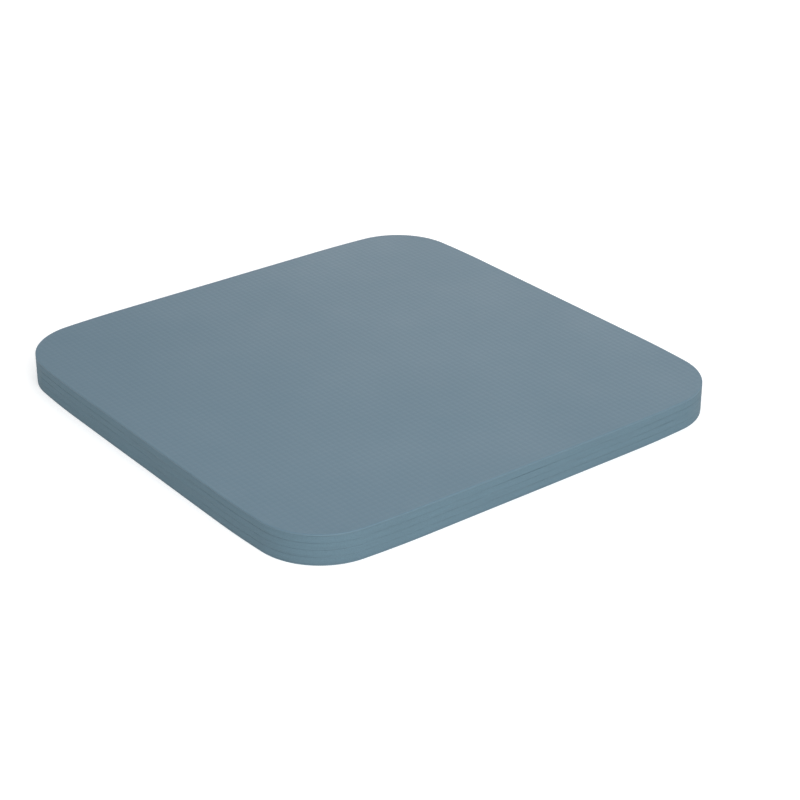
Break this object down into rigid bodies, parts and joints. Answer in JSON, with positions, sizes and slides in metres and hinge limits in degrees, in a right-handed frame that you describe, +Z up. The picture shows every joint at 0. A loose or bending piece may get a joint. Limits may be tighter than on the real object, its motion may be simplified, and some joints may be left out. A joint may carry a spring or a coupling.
{
  "type": "balance pad",
  "caption": "Flat square foam balance pad with rounded corners and a fine embossed standing surface, built up from bonded closed-cell foam layers.",
  "frame": {"origin": "middle of the base face, on the floor", "axes": "+Z up through the thickness, from the grip sheet to the standing surface; X and Y along the sides"},
  "size_m": [0.5, 0.5, 0.03],
  "materials": {
    "top_skin": "matte",
    "foam": "matte",
    "bond_film": "satin",
    "base_skin": "matte"
  },
  "bodies": {
    "root": {"base_skin": "base_skin", "bond_film_1": "bond_film", "foam_sheet_1": "foam", "bond_film_2": "bond_film", "foam_sheet_2": "foam", "bond_film_3": "bond_film", "foam_sheet_3": "foam", "bond_film_4": "bond_film", "foam_sheet_4": "foam", "bond_film_5": "bond_film", "top_skin": "top_skin"}
  },
  "joints": []
}
